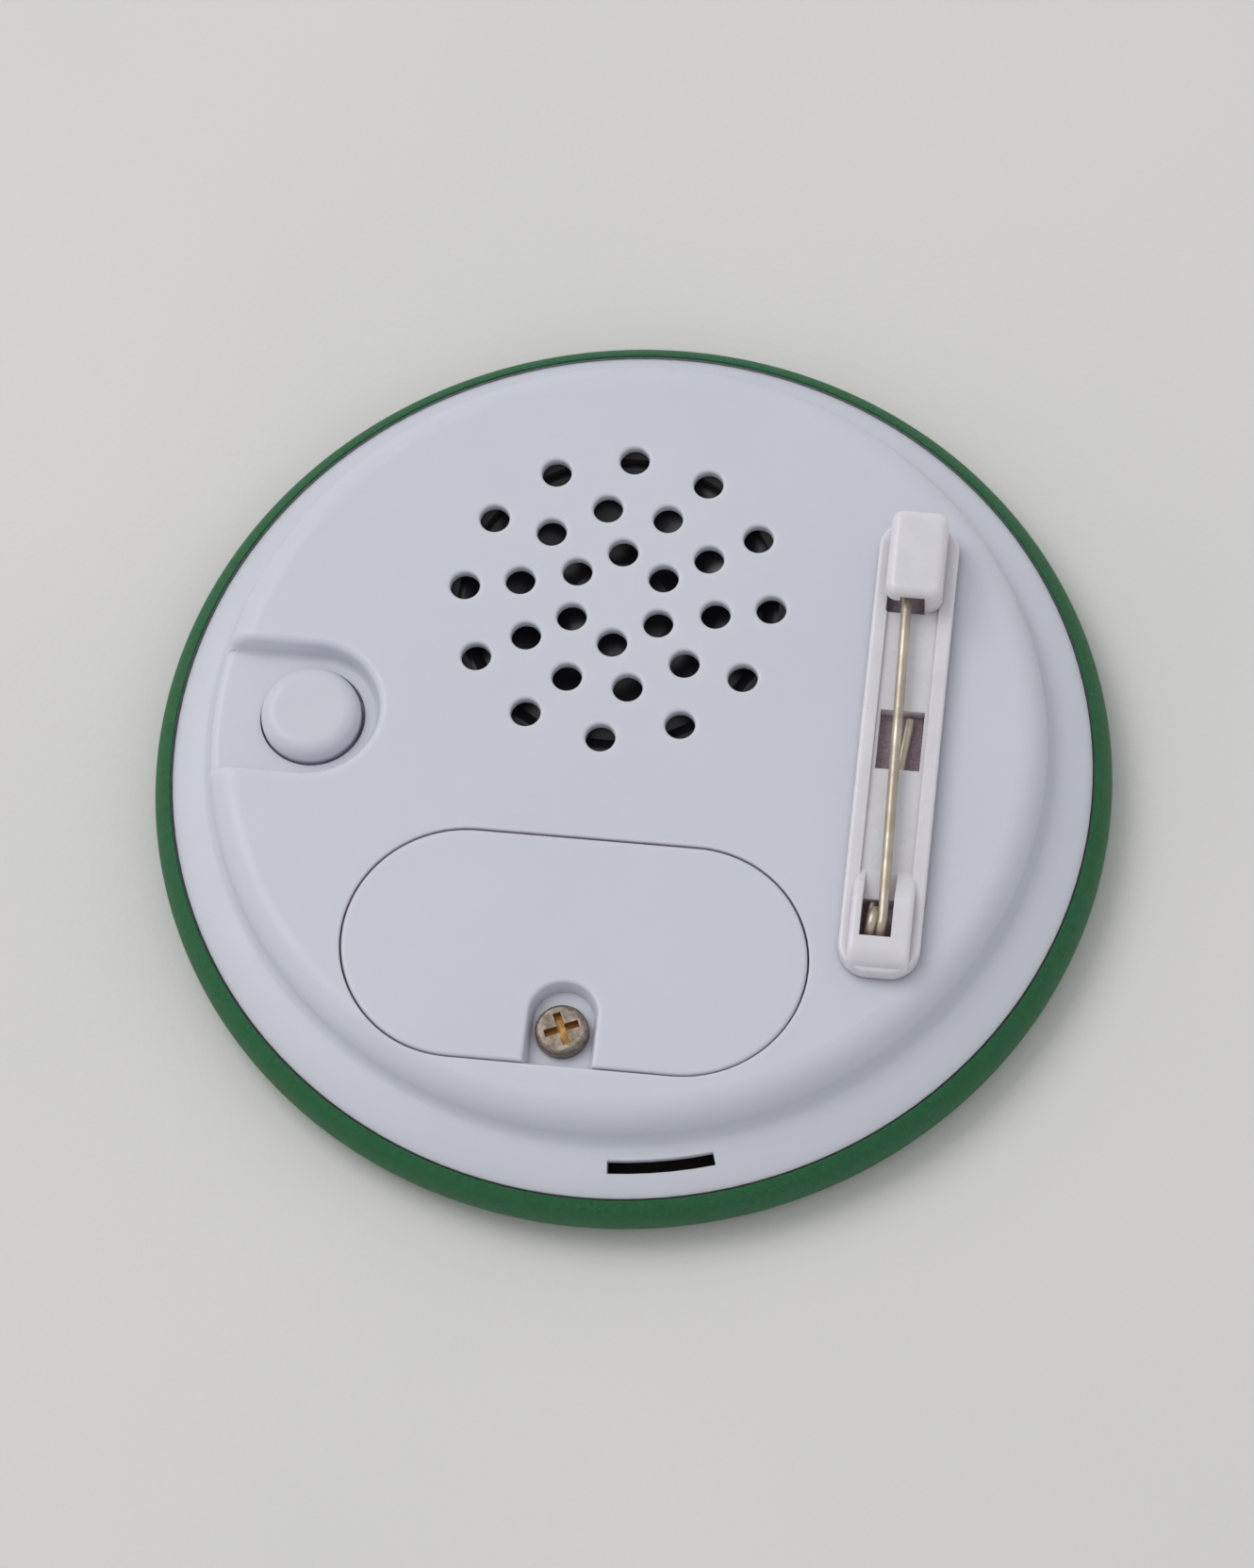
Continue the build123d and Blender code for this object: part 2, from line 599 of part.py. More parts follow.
def pin_hood():
    """The catch: closed on top, at the right and at the end, open in front and under its left lip."""
    hood = block(HOOD_X0, HOOD_X1, HOOD_Y0, BAR_Y1 - 0.4, BAR_FLOOR - 0.4, HOOD_TOP)
    hood = fillet(hood.edges().filter_by(Axis.Z), 0.9)
    hood = fillet(hood.faces().sort_by(Axis.Z)[-1].edges(), 0.7)
    pocket = block(HOOD_X0 + 1.2, HOOD_X1 - 1.3, HOOD_Y0 - 1, 18.2, BAR_FLOOR, HOOD_CEILING)
    way_out = block(HOOD_X0 - 1, HOOD_X0 + 2, HOOD_Y0 - 1, 18.2, BAR_FLOOR, HOOD_CEILING - 0.6)
    return hood - pocket - way_out


def pin_boss():
    """The block that holds the coil, sloping down to the channel's floor and to the bar's end."""
    low = BAR_FLOOR - 0.4
    side = Polyline((BAR_Y0 + 0.2, low), (BAR_Y0 + 0.5, BOSS_TOP), (-12.4, BOSS_TOP), (-8.8, low), close=True)
    boss = Pos(BAR_X - BOSS_W / 2, 0, 0) * extrude(Plane.YZ * make_face(side), amount=BOSS_W)
    end = boss.edges().filter_by(Axis.X).group_by(Axis.Z)[-1].sort_by(Axis.Y)[0]
    boss = fillet(end, 1.3)
    sides = [edge for edge in boss.edges() if (edge @ 0.5).Z > low + 0.5 and abs((edge @ 0.5).X - BAR_X) > 1]
    return fillet(sides, 0.4)


LEG_START = (NEEDLE_X - COIL_PITCH, NEEDLE_Y, NEEDLE_Z - 2 * COIL_R)
LEG_END = (21.5, 3.3, NEEDLE_Z - 2 * COIL_R)


def pin_coil():
    """Half a turn under the needle's root, a full turn beside it, and the anchor leg."""
    z = NEEDLE_Z - COIL_R
    ring = Rot(0, 90, 0) * Torus(COIL_R, WIRE_R)
    behind = block(NEEDLE_X - 1, NEEDLE_X + 1, NEEDLE_Y - 3, NEEDLE_Y, 5, 15)
    first = Pos(NEEDLE_X, NEEDLE_Y, z) * ring & behind
    second = Pos(NEEDLE_X - COIL_PITCH, NEEDLE_Y, z) * ring
    bottom = NEEDLE_Z - 2 * COIL_R
    bridge = rod((NEEDLE_X, NEEDLE_Y, bottom), (NEEDLE_X - COIL_PITCH, NEEDLE_Y, bottom), WIRE_R)
    coil = first + second + bridge + rod(LEG_START, LEG_END, WIRE_R)
    return coil - Pos(NEEDLE_X, NEEDLE_Y, NEEDLE_Z) * Sphere(WIRE_R + RUNNING)


def pin_needle():
    """A straight wire from its ball-shaped root to a ground point."""
    straight = NEEDLE_LENGTH - NEEDLE_TAPER
    body = Pos(0, 0, straight / 2) * Cylinder(WIRE_R, straight)
    point = Pos(0, 0, straight + NEEDLE_TAPER / 2) * Cone(WIRE_R, 0.05, NEEDLE_TAPER)
    wire = Rot(-90, 0, 0) * (body + point + Sphere(WIRE_R))
    return Pos(NEEDLE_X, NEEDLE_Y, NEEDLE_Z) * Rot(0, 0, NEEDLE_LEAN) * wire


# ---- write the nodes ----
nodes = {
    "clear_film": clear_film(),
    "printed_wrap": printed_wrap(),
    "front_shell": front_shell(),
    "inner_cover": inner_cover(),
    "back_housing": back_housing(),
    "battery_door": battery_door(),
    "door_screw": door_screw(),
    "contact_negative": contact_negative(),
    "contact_link_a": contact_link("left", "middle"),
    "contact_link_b": contact_link("middle", "right"),
    "contact_positive": contact_positive(),
    "push_button": push_button(),
    "switch_base": switch_base(),
    "switch_dome": switch_dome(),
    "switch_plunger": switch_plunger(),
    "circuit_board": circuit_board(),
    "board_screws": board_screws(),
    "sound_chip": sound_chip(),
    "board_resistors": board_resistors(),
    "board_capacitor": board_capacitor(),
    "speaker_gasket": speaker_gasket(),
    "speaker_cone": speaker_cone(),
    "speaker_frame": speaker_frame(),
    "speaker_yoke": speaker_yoke(),
    "speaker_magnet": speaker_magnet(),
    "speaker_pole_plate": speaker_pole_plate(),
    "voice_coil": voice_coil(),
    "speaker_terminal_board": speaker_terminal_board(),
    "pin_bar_adhesive": pin_bar_adhesive(),
    "pin_bar": pin_bar(),
    "pin_coil": pin_coil(),
    "pin_needle": pin_needle(),
}
for place in CELLS:
    nodes["battery_cell_" + place] = battery_cell(place)
for name, route in LEADS.items():
    nodes[name] = lead(route)

for name, shape in nodes.items():
    export_step(shape, f"parts/{name}.step")
print(len(nodes), "nodes written")
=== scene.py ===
# %% [markdown]
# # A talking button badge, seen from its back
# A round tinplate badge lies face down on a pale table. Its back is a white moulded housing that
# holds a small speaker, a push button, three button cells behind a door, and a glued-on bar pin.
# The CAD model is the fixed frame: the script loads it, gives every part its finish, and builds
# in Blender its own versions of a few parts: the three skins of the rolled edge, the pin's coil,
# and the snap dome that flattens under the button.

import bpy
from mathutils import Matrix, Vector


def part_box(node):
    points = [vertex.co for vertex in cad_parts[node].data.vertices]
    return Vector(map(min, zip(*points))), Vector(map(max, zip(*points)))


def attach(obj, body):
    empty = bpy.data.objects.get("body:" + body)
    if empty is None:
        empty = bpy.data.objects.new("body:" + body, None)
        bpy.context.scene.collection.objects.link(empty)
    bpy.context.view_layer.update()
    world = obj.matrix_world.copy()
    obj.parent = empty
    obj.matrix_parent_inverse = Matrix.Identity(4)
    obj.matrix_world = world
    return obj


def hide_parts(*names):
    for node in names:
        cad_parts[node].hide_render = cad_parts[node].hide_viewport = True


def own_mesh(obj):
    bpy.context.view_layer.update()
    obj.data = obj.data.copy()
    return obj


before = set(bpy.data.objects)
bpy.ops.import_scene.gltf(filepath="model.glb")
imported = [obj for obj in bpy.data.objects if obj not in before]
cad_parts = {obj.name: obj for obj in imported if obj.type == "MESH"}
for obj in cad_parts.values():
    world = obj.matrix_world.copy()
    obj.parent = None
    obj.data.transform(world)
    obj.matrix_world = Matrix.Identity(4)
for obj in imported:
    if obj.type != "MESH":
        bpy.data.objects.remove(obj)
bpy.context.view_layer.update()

# %% [markdown]
# ## Names used throughout
# Blender measures in metres, and a badge is easier to think about in millimetres. So the lengths
# on the badge are written in millimetres and multiplied by MM; the table and the lamp are far
# larger and stay in metres. Points that lie closer together than SAME_PLACE are merged wherever
# the same corner has been drawn twice.

# %% Shared names
from math import cos, pi, radians, sin

import bmesh
import bpy
from mathutils import Matrix, Vector

MM = 0.001
SAME_PLACE = 0.001 * MM
scene = bpy.context.scene
print("one millimetre is", MM, "m")

# %% [markdown]
# ## The camera
# It stands about 43 cm off, a little to the right of the badge, and looks down at 66 degrees. The
# long lens keeps the round outline close to a plain ellipse. The camera is turned a few degrees
# about its own line of sight, which is why the badge looks rotated on the table.

# %% Camera
AIM = Vector((-0.08, -1.87, 5.0)) * MM
CAMERA_AZIMUTH = radians(12.5)
CAMERA_ELEVATION = radians(65.7)
CAMERA_ROLL = radians(-6.67)
CAMERA_DISTANCE = 433.07 * MM
LENS_LENGTH = 128.1         # Blender counts lens and sensor in millimetres already
SENSOR_WIDTH = 36.0
NEAREST = 0.05              # metres from the lens that the camera sees
FARTHEST = 5.0


def direction(azimuth, elevation):
    """Unit vector from the badge towards something seen at that azimuth and elevation."""
    flat = cos(elevation)
    return Vector((sin(azimuth) * flat, -cos(azimuth) * flat, sin(elevation)))


towards_camera = direction(CAMERA_AZIMUTH, CAMERA_ELEVATION)
lens = bpy.data.cameras.new("camera")
lens.lens = LENS_LENGTH
lens.sensor_width = SENSOR_WIDTH
lens.clip_start = NEAREST
lens.clip_end = FARTHEST
camera = bpy.data.objects.new("camera", lens)
camera.location = AIM + CAMERA_DISTANCE * towards_camera
level = (-towards_camera).to_track_quat("-Z", "Y").to_matrix()
camera.rotation_euler = (level @ Matrix.Rotation(CAMERA_ROLL, 3, "Z")).to_euler()
scene.collection.objects.link(camera)
scene.camera = camera
print("camera at", [round(1000 * c, 1) for c in camera.location], "mm")

# %% [markdown]
# ## Node helpers
# Every finish is built from shader nodes, so it has detail at any distance and needs no pictures.
# The same few moves come back each time: place a pattern on the object's own coordinates, turn a
# noise into a colour or a roughness, and raise the surface a little. Each move gets a short
# function, so that a finish reads as a recipe.

# %% Node helpers
def add_node(finish, kind, inputs=None, **settings):
    """A new shader node in a material, with its settings and socket values."""
    made = finish.node_tree.nodes.new("ShaderNode" + kind)
    for name, value in settings.items():
        setattr(made, name, value)
    for name, value in (inputs or {}).items():
        made.inputs[name].default_value = value
    return made


def join(finish, source, target):
    """A link from an output socket to an input socket."""
    finish.node_tree.links.new(source, target)


def new_finish(name, color, roughness, **sockets):
    """A material with one Principled shader. Underscores in socket names stand for spaces."""
    finish = bpy.data.materials.new(name)
    finish.use_nodes = True
    shader = finish.node_tree.nodes["Principled BSDF"]
    shader.inputs["Base Color"].default_value = (*color, 1.0)
    shader.inputs["Roughness"].default_value = roughness
    for socket, value in sockets.items():
        shader.inputs[socket.replace("_", " ")].default_value = value
    return finish, shader


def place_coordinates(finish, stretch=(1, 1, 1)):
    """Object coordinates, stretched along the axes."""
    place = add_node(finish, "TexCoord")
    mapping = add_node(finish, "Mapping", {"Scale": stretch})
    join(finish, place.outputs["Object"], mapping.inputs["Vector"])
    return mapping.outputs["Vector"]


def noise(finish, where, size, detail=3.0, roughness=0.5):
    """Noise whose blotches are about that size, in metres."""
    sockets = {"Scale": 1 / size, "Detail": detail, "Roughness": roughness}
    made = add_node(finish, "TexNoise", sockets)
    join(finish, where, made.inputs["Vector"])
    return made.outputs["Fac"]


def spread(finish, value, low, high, start=0.3, end=0.7):
    """A number that goes from low to high as the value goes from start to end."""
    sockets = {"From Min": start, "From Max": end, "To Min": low, "To Max": high}
    made = add_node(finish, "MapRange", sockets)
    join(finish, value, made.inputs["Value"])
    return made.outputs["Result"]


def tint(finish, value, first, second, start=0.3, end=0.7):
    """A colour between two, following a 0 to 1 value."""
    ramp = add_node(finish, "ValToRGB")
    ramp.color_ramp.elements[0].position = start
    ramp.color_ramp.elements[0].color = (*first, 1)
    ramp.color_ramp.elements[1].position = end
    ramp.color_ramp.elements[1].color = (*second, 1)
    join(finish, value, ramp.inputs["Fac"])
    return ramp.outputs["Color"]


def bump(finish, shader, height, depth, under=None):
    """Raise the surface by up to that depth, in metres, where the height is 1."""
    made = add_node(finish, "Bump", {"Distance": depth, "Strength": 1.0})
    join(finish, height, made.inputs["Height"])
    if under is not None:
        join(finish, under.outputs["Normal"], made.inputs["Normal"])
    join(finish, made.outputs["Normal"], shader.inputs["Normal"])
    return made


def multiply(finish, amount, color, shade):
    """The colour, multiplied by a shade as far as the 0 to 1 amount says."""
    made = add_node(finish, "MixRGB", {"Color2": (*shade, 1)}, blend_type="MULTIPLY")
    join(finish, amount, made.inputs["Fac"])
    join(finish, color, made.inputs["Color1"])
    return made.outputs["Color"]


def closed_in(finish, reach):
    """1 deep in a crevice and 0 in the open, looking that far around the surface."""
    made = add_node(finish, "AmbientOcclusion", {"Distance": reach}, samples=8)
    return spread(finish, made.outputs["AO"], 1.0, 0.0, 0.3, 0.75)


def wear(parts, finish):
    """Give CAD parts this finish in place of the plain packed one."""
    for part in parts:
        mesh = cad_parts[part].data
        for place in range(len(mesh.materials)):
            mesh.materials[place] = finish
    print(finish.name, "on", ", ".join(parts))


# %% [markdown]
# ## The table
# A large pale sheet lies under the badge. It is a stage, not a part of the badge. Its finish is
# nearly plain: a broad cloudiness and a very fine grain keep it from looking like a computer's
# perfect grey.

# %% Table
TABLE_SIDE = 12.0
table_mesh = bpy.data.meshes.new("table")
shape = bmesh.new()
bmesh.ops.create_grid(shape, x_segments=1, y_segments=1, size=TABLE_SIDE / 2)
shape.to_mesh(table_mesh)
shape.free()
table = bpy.data.objects.new("table", table_mesh)
scene.collection.objects.link(table)
table_finish, table_shader = new_finish("table_pale", (0.74, 0.73, 0.72), 0.9)
table_where = place_coordinates(table_finish)
table_cloud = noise(table_finish, table_where, 60 * MM)
table_tone = tint(table_finish, table_cloud, (0.72, 0.715, 0.70), (0.755, 0.745, 0.73))
join(table_finish, table_tone, table_shader.inputs["Base Color"])
bump(table_finish, table_shader, noise(table_finish, table_where, 0.5 * MM), 0.03 * MM)
table_mesh.materials.append(table_finish)
print("table side:", TABLE_SIDE, "m")

# %% [markdown]
# ## The light
# Soft white plastic shows its shape only through gentle shading. One large lamp stands high on the
# left, a little behind the badge, so shade falls to the near and right sides, and a bright even room
# fills the rest. A small lamp would give hard shadows; a lamp more than half as wide as its distance
# gives soft ones.

# %% Lights
def soft_light(name, azimuth, elevation, distance, size, power, color):
    """A square area light that looks at the badge."""
    lamp = bpy.data.lights.new(name, "AREA")
    lamp.shape = "SQUARE"
    lamp.size = size
    lamp.energy = power
    lamp.color = color
    holder = bpy.data.objects.new(name, lamp)
    away = direction(radians(azimuth), radians(elevation))
    holder.location = away * distance
    holder.rotation_euler = (-away).to_track_quat("-Z", "Y").to_euler()
    scene.collection.objects.link(holder)
    print(name, "at", [round(c, 2) for c in holder.location], "m")


ROOM_COLOR = (0.97, 0.98, 1.0)
ROOM_STRENGTH = 0.60
soft_light("window", azimuth=-118, elevation=56, distance=1.0, size=0.6, power=3.5, color=(1.0, 0.985, 0.97))
world = bpy.data.worlds.new("room")
scene.world = world
world.use_nodes = True
room_light = world.node_tree.nodes["Background"]
room_light.inputs["Color"].default_value = (*ROOM_COLOR, 1)
room_light.inputs["Strength"].default_value = ROOM_STRENGTH
scene.view_settings.view_transform = "Standard"

# %% [markdown]
# ## White moulded plastic
# The housing and the battery door are moulded ABS in a cool white. A mould leaves a very fine
# satin grain, and handling leaves faint patches that are a little smoother. Light also enters the
# plastic a little way, so its edges look soft. A mauve tint in the door's gap and in the corners is
# painted shade: the colour is darkened wherever the surface is closed in.

# %% Moulded white
CREVICE_SHADE = (0.93, 0.84, 0.90)


def moulded_white(name, color, roughness, grain):
    """Satin white plastic with a fine grain, smooth patches, soft edges and painted shade in crevices."""
    finish, shader = new_finish(name, color, roughness)
    where = place_coordinates(finish)
    cloud = noise(finish, where, 14 * MM)
    faded = tuple(0.975 * c for c in color)
    mottled_white = tint(finish, cloud, faded, color)
    # Painted shade: the colour is multiplied towards CREVICE_SHADE where the surface is closed in.
    white_with_painted_shade = multiply(finish, closed_in(finish, 0.9 * MM), mottled_white, CREVICE_SHADE)
    join(finish, white_with_painted_shade, shader.inputs["Base Color"])
    patches = noise(finish, where, 5 * MM, 5.0)
    join(finish, spread(finish, patches, roughness - 0.05, roughness + 0.06), shader.inputs["Roughness"])
    waves = bump(finish, shader, noise(finish, where, 9 * MM, 1.0), 0.03 * MM)
    bump(finish, shader, noise(finish, where, 0.16 * MM, 4.0), grain, waves)
    shader.inputs["Subsurface Weight"].default_value = 0.7
    shader.inputs["Subsurface Radius"].default_value = (1.0, 0.8, 0.9)
    shader.inputs["Subsurface Scale"].default_value = 1.2 * MM
    return finish


housing_white = moulded_white("housing_white", (0.645, 0.665, 0.73), 0.42, 0.008 * MM)
button_white = moulded_white("button_white", (0.63, 0.65, 0.705), 0.34, 0.004 * MM)
wear(["back_housing", "battery_door"], housing_white)
wear(["push_button"], button_white)

# %% [markdown]
# ## The bar pin's plastic
# The pin's bar is a different, slightly see-through plastic: glossier and warmer, with light that
# spreads inside it too. Its relief is a broad, shallow wave and almost no grain, as on a part from
# a polished mould. It is built like the housing's white, with its own colours and sizes.

# %% Bar plastic
bar_white, bar_shader = new_finish("bar_white", (0.72, 0.71, 0.74), 0.3)
bar_where = place_coordinates(bar_white)
bar_cloud = tint(bar_white, noise(bar_white, bar_where, 4 * MM), (0.70, 0.69, 0.725), (0.735, 0.725, 0.76))
# Painted shade: the colour is darkened towards a mauve-pink in the bar's crevices and corners.
bar_tone = multiply(bar_white, closed_in(bar_white, 1.2 * MM), bar_cloud, (0.86, 0.74, 0.76))
join(bar_white, bar_tone, bar_shader.inputs["Base Color"])
bar_patches = noise(bar_white, bar_where, 2 * MM, 4.0)
join(bar_white, spread(bar_white, bar_patches, 0.22, 0.34), bar_shader.inputs["Roughness"])
bar_waves = bump(bar_white, bar_shader, noise(bar_white, bar_where, 4 * MM, 1.0), 0.02 * MM)
bump(bar_white, bar_shader, noise(bar_white, bar_where, 0.2 * MM, 3.0), 0.003 * MM, bar_waves)
bar_shader.inputs["Subsurface Weight"].default_value = 0.7
bar_shader.inputs["Subsurface Radius"].default_value = (1.0, 0.85, 0.85)
bar_shader.inputs["Subsurface Scale"].default_value = 1.2 * MM
wear(["pin_bar"], bar_white)

# %% [markdown]
# ## The foam tape
# A strip of foam tape holds the bar, and shows at the bottom of its windows. Its dark mauve-grey is
# partly the tape's own colour and partly painted shade for the dim windows above it. Foam is a
# mass of tiny bubbles, so one fine noise both tints the surface and raises it.

# %% Foam tape
# The tape's dark mauve is partly painted shade for the dim windows over it.
tape_mauve, tape_shader = new_finish("tape_mauve", (0.30, 0.22, 0.26), 0.7)
tape_where = place_coordinates(tape_mauve)
foam = noise(tape_mauve, tape_where, 0.25 * MM, 4.0)
foam_tone = tint(tape_mauve, foam, (0.23, 0.17, 0.20), (0.37, 0.29, 0.34))
join(tape_mauve, foam_tone, tape_shader.inputs["Base Color"])
bump(tape_mauve, tape_shader, foam, 0.03 * MM)
wear(["pin_bar_adhesive"], tape_mauve)

# %% [markdown]
# ## Printed paper under clear film
# A button badge is a tinplate shell with a printed paper and a clear film pressed round it. Only
# the rolled edge shows from the back. The ink is a flat green with a fine speckle of the paper's
# fibres, and the paper makes small pleats where the edge turns inwards: a pattern that
# runs round the badge much faster than it runs across the roll. The angle round the badge comes
# from the object's own coordinates with an arc tangent.

# %% Printed green
print_green, print_shader = new_finish("print_green", (0.02, 0.12, 0.045), 0.6, Specular_IOR_Level=0.25)
print_where = place_coordinates(print_green)
speckle = noise(print_green, print_where, 0.16 * MM, 2.0, 0.8)
ink = tint(print_green, speckle, (0.006, 0.080, 0.026), (0.030, 0.165, 0.066), 0.34, 0.72)
join(print_green, ink, print_shader.inputs["Base Color"])
axes = add_node(print_green, "SeparateXYZ")
join(print_green, print_where, axes.inputs["Vector"])
turn = add_node(print_green, "Math", operation="ARCTAN2")
join(print_green, axes.outputs["Y"], turn.inputs[0])
join(print_green, axes.outputs["X"], turn.inputs[1])
around = add_node(print_green, "CombineXYZ")
join(print_green, turn.outputs["Value"], around.inputs["X"])
pleats = add_node(print_green, "TexNoise", {"Scale": 34.0, "Detail": 1.0})
join(print_green, around.outputs["Vector"], pleats.inputs["Vector"])
pleated = spread(print_green, pleats.outputs["Fac"], 0.0, 1.0, 0.52, 0.72)
upper = spread(print_green, axes.outputs["Z"], 0.0, 1.0, 3.2 * MM, 4.7 * MM)
pleat_height = add_node(print_green, "Math", operation="MULTIPLY")
join(print_green, pleated, pleat_height.inputs[0])
join(print_green, upper, pleat_height.inputs[1])
folds = bump(print_green, print_shader, pleat_height.outputs["Value"], 0.10 * MM)
bump(print_green, print_shader, speckle, 0.004 * MM, folds)
print(print_green.name, "has", len(print_green.node_tree.nodes), "nodes")

# %% [markdown]
# ## Clear film
# The film is see-through where we look straight at it and a little shiny at a glancing angle. A
# transparent and a glossy shader are mixed by Layer Weight's Facing value. The Fresnel node would
# turn the film's inner face into a mirror, because light that leaves a dense material is thrown
# back at a slant.

# %% Clear film
film_clear = bpy.data.materials.new("film_clear")
film_clear.use_nodes = True
film_nodes = film_clear.node_tree.nodes
film_nodes.remove(film_nodes["Principled BSDF"])
through = add_node(film_clear, "BsdfTransparent", {"Color": (0.97, 0.99, 0.97, 1)})
shine = add_node(film_clear, "BsdfGlossy", {"Roughness": 0.24})
glance = add_node(film_clear, "LayerWeight", {"Blend": 0.3})
film_mix = add_node(film_clear, "MixShader")
sheen = spread(film_clear, glance.outputs["Facing"], 0.008, 0.05, 0.1, 0.95)
join(film_clear, sheen, film_mix.inputs["Fac"])
join(film_clear, through.outputs["BSDF"], film_mix.inputs[1])
join(film_clear, shine.outputs["BSDF"], film_mix.inputs[2])
join(film_clear, film_mix.outputs["Shader"], film_nodes["Material Output"].inputs["Surface"])
ripple = add_node(film_clear, "Bump", {"Distance": 0.02 * MM, "Strength": 1.0})
join(film_clear, noise(film_clear, place_coordinates(film_clear), 1.5 * MM), ripple.inputs["Height"])
join(film_clear, ripple.outputs["Normal"], shine.inputs["Normal"])
print(film_clear.name, "has", len(film_nodes), "nodes")

# %% [markdown]
# ## Metals
# Plain metal is a metallic shader whose colour and roughness both follow one noise, so worn
# places are a little darker and duller together.

# %% Metals
def plain_metal(name, color, roughness, blotch=0.6 * MM, stretch=(1, 1, 1), depth=0.0):
    """Metal with a fine cloud in its colour, its roughness and, if asked, its surface."""
    finish, shader = new_finish(name, color, roughness, Metallic=1.0)
    where = place_coordinates(finish, stretch)
    cloud = noise(finish, where, blotch, 4.0)
    darker = tuple(0.75 * c for c in color)
    join(finish, tint(finish, cloud, darker, color), shader.inputs["Base Color"])
    join(finish, spread(finish, cloud, roughness + 0.1, roughness - 0.05), shader.inputs["Roughness"])
    if depth:
        bump(finish, shader, cloud, depth)
    return finish


tinplate = plain_metal("tinplate", (0.62, 0.62, 0.64), 0.3)
screw_zinc = plain_metal("board_screw_zinc", (0.50, 0.50, 0.52), 0.35)
contact_nickel = plain_metal("contact_nickel", (0.70, 0.66, 0.58), 0.3)
zinc_plate = plain_metal("zinc_plate", (0.5, 0.5, 0.53), 0.4, 1.2 * MM, depth=0.004 * MM)
sintered_magnet = plain_metal("sintered_magnet", (0.10, 0.10, 0.11), 0.55, 0.2 * MM, depth=0.01 * MM)
cell_can = plain_metal("cell_can", (0.68, 0.68, 0.70), 0.25, 0.4 * MM)
wear(["board_screws"], screw_zinc)
wear(["contact_negative", "contact_link_a", "contact_link_b", "contact_positive"], contact_nickel)
wear(["speaker_frame", "speaker_yoke", "speaker_pole_plate"], zinc_plate)
wear(["speaker_magnet"], sintered_magnet)
wear(["battery_cell_left", "battery_cell_middle", "battery_cell_right"], cell_can)

# %% [markdown]
# ## The pin's spring wire
# Drawn wire is bright, with fine rings across it from the drawing die and from bending. A noise
# squeezed along the wire gives the rings; the wire lies almost along Y, so Y is the axis to
# leave at full scale.

# %% Spring wire
pin_wire, wire_shader = new_finish("pin_wire", (0.52, 0.46, 0.37), 0.45, Metallic=1.0)
rings = noise(pin_wire, place_coordinates(pin_wire, (0.06, 1, 0.06)), 0.22 * MM, 3.0)
patina = noise(pin_wire, place_coordinates(pin_wire), 1.6 * MM, 3.0)
wire_tone = tint(pin_wire, patina, (0.44, 0.38, 0.30), (0.60, 0.55, 0.46))
join(pin_wire, wire_tone, wire_shader.inputs["Base Color"])
join(pin_wire, spread(pin_wire, patina, 0.52, 0.38), wire_shader.inputs["Roughness"])
bump(pin_wire, wire_shader, rings, 0.025 * MM)
wear(["pin_needle"], pin_wire)

# %% [markdown]
# ## The door screw
# The screw's head is nickel-plated and a little worn, so it is grey-brown. Its cross recess keeps
# a warmer colour, because no cloth ever rubs there. The recess is what lies near the screw's axis
# and just under the head's top, so a distance and two heights from the object's own coordinates
# pick between the colours.

# %% Screw finish
CROSS_REACH = 1.35 * MM     # half the length of the cross's arms
GOLD_FADE = 0.2 * MM        # how softly the gold gives way to grey, outwards and upwards
GOLD_TOP = 0.1 * MM         # below the head's top
GOLD_DEPTH = 0.9 * MM       # a little deeper than the cross, so that its floor is gold too
FLOOR_FADE = 0.1 * MM
head_low, head_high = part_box("door_screw")
screw_nickel, screw_shader = new_finish("screw_nickel", (0.24, 0.20, 0.16), 0.42, Metallic=1.0)
screw_where = place_coordinates(screw_nickel)
screw_axes = add_node(screw_nickel, "SeparateXYZ")
join(screw_nickel, screw_where, screw_axes.inputs["Vector"])
head_middle = (head_low + head_high) / 2
gold_low = head_high.z - GOLD_DEPTH
gold_high = head_high.z - GOLD_TOP
seen_from_above = add_node(screw_nickel, "CombineXYZ")
join(screw_nickel, screw_axes.outputs["X"], seen_from_above.inputs["X"])
join(screw_nickel, screw_axes.outputs["Y"], seen_from_above.inputs["Y"])
off_axis = add_node(screw_nickel, "VectorMath", operation="DISTANCE")
join(screw_nickel, seen_from_above.outputs["Vector"], off_axis.inputs[0])
off_axis.inputs[1].default_value = (head_middle.x, head_middle.y, 0)
screw_height = screw_axes.outputs["Z"]
near_axis = spread(screw_nickel, off_axis.outputs["Value"], 1.0, 0.0, CROSS_REACH, CROSS_REACH + GOLD_FADE)
below_top = spread(screw_nickel, screw_height, 1.0, 0.0, gold_high - GOLD_FADE, gold_high)
above_floor = spread(screw_nickel, screw_height, 0.0, 1.0, gold_low, gold_low + FLOOR_FADE)
in_recess = near_axis
for limit in (below_top, above_floor):
    both = add_node(screw_nickel, "Math", operation="MULTIPLY")
    join(screw_nickel, in_recess, both.inputs[0])
    join(screw_nickel, limit, both.inputs[1])
    in_recess = both.outputs["Value"]
scuffs = noise(screw_nickel, screw_where, 0.45 * MM, 5.0, 0.7)
patchy = tint(screw_nickel, scuffs, (0.20, 0.165, 0.13), (0.38, 0.33, 0.28), 0.38, 0.66)
golden = add_node(screw_nickel, "MixRGB", {"Color2": (0.42, 0.24, 0.09, 1)})
join(screw_nickel, in_recess, golden.inputs["Fac"])
join(screw_nickel, patchy, golden.inputs["Color1"])
join(screw_nickel, golden.outputs["Color"], screw_shader.inputs["Base Color"])
join(screw_nickel, spread(screw_nickel, scuffs, 0.34, 0.55), screw_shader.inputs["Roughness"])
dents = bump(screw_nickel, screw_shader, noise(screw_nickel, screw_where, 1.3 * MM, 1.0), 0.25 * MM)
bump(screw_nickel, screw_shader, scuffs, 0.04 * MM, dents)
wear(["door_screw"], screw_nickel)
print("screw head top:", round(1000 * head_high.z, 2), "mm")
